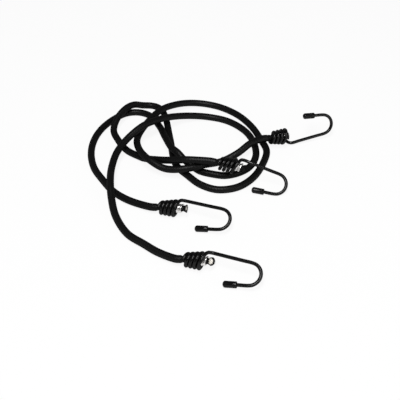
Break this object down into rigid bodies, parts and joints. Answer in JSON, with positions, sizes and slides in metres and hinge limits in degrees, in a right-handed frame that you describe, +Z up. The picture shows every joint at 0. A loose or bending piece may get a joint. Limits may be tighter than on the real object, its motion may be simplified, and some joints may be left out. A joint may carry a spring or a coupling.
{
  "type": "bungee cord pair",
  "caption": "Two black braided elastic cords lying in loose loops, each with a coiled wire hook, soft tip cap and steel crimp at both ends, for strapping down loads.",
  "frame": {"origin": "on the floor under the middle of the pair's box", "axes": "+Z up from the floor, +X to the viewer's right, +Y away from the viewer"},
  "size_m": [0.2812, 0.3032, 0.0329],
  "materials": {
    "sheath": "woven, faint sheen",
    "core": "matte, cut face",
    "wire": "semi-gloss coating",
    "cap": "soft satin",
    "crimp": "bright zinc"
  },
  "bodies": {
    "cords": {"cord_1_sheath": "sheath", "cord_1_core": "core", "sheath_run_1a": "sheath", "sheath_run_1b": "sheath", "cord_2_sheath": "sheath", "cord_2_core": "core", "sheath_run_2a": "sheath", "sheath_run_2b": "sheath"},
    "end_1a": {"sheath_grip_1a": "sheath", "core_grip_1a": "core", "crimp_1a": "crimp"},
    "hook_1a": {"hook_wire_1a": "wire", "tip_cap_1a": "cap"},
    "end_1b": {"sheath_grip_1b": "sheath", "core_grip_1b": "core", "crimp_1b": "crimp"},
    "hook_1b": {"hook_wire_1b": "wire", "tip_cap_1b": "cap"},
    "end_2a": {"sheath_grip_2a": "sheath", "core_grip_2a": "core", "crimp_2a": "crimp"},
    "hook_2a": {"hook_wire_2a": "wire", "tip_cap_2a": "cap"},
    "end_2b": {"sheath_grip_2b": "sheath", "core_grip_2b": "core", "crimp_2b": "crimp"},
    "hook_2b": {"hook_wire_2b": "wire", "tip_cap_2b": "cap"}
  },
  "joints": [
    {"name": "stretch_1a", "type": "slide", "parent": "cords", "child": "end_1a", "axis": [0.9781, -0.2079, 0], "range_m": [0, 0.225], "stiffness_N_per_m": 330, "deforming": ["sheath_run_1a", "cord_1_core"]},
    {"name": "swivel_1a", "type": "hinge", "parent": "end_1a", "child": "hook_1a", "pos_m": [-0.038, -0.0467, 0.00966], "axis": [0.9702, -0.2062, 0.1273], "continuous": true},
    {"name": "stretch_1b", "type": "slide", "parent": "cords", "child": "end_1b", "axis": [0.9751, -0.2215, 0], "range_m": [0, 0.225], "stiffness_N_per_m": 330, "deforming": ["sheath_run_1b", "cord_1_core"]},
    {"name": "swivel_1b", "type": "hinge", "parent": "end_1b", "child": "hook_1b", "pos_m": [-0.0113, -0.1205, 0.00966], "axis": [0.9672, -0.2197, 0.1273], "continuous": true},
    {"name": "stretch_2a", "type": "slide", "parent": "cords", "child": "end_2a", "axis": [0.9799, -0.1994, 0], "range_m": [0, 0.225], "stiffness_N_per_m": 330, "deforming": ["sheath_run_2a", "cord_2_core"]},
    {"name": "swivel_2a", "type": "hinge", "parent": "end_2a", "child": "hook_2a", "pos_m": [0.024, 0.0087, 0.01985], "axis": [0.9746, -0.1983, -0.1045], "range_deg": [-225, 45]},
    {"name": "stretch_2b", "type": "slide", "parent": "cords", "child": "end_2b", "axis": [0.9703, 0.2419, 0], "range_m": [0, 0.225], "stiffness_N_per_m": 330, "deforming": ["sheath_run_2b", "cord_2_core"]},
    {"name": "swivel_2b", "type": "hinge", "parent": "end_2b", "child": "hook_2b", "pos_m": [0.0832, 0.0723, 0.01175], "axis": [0.9685, 0.2415, -0.061], "continuous": true}
  ]
}
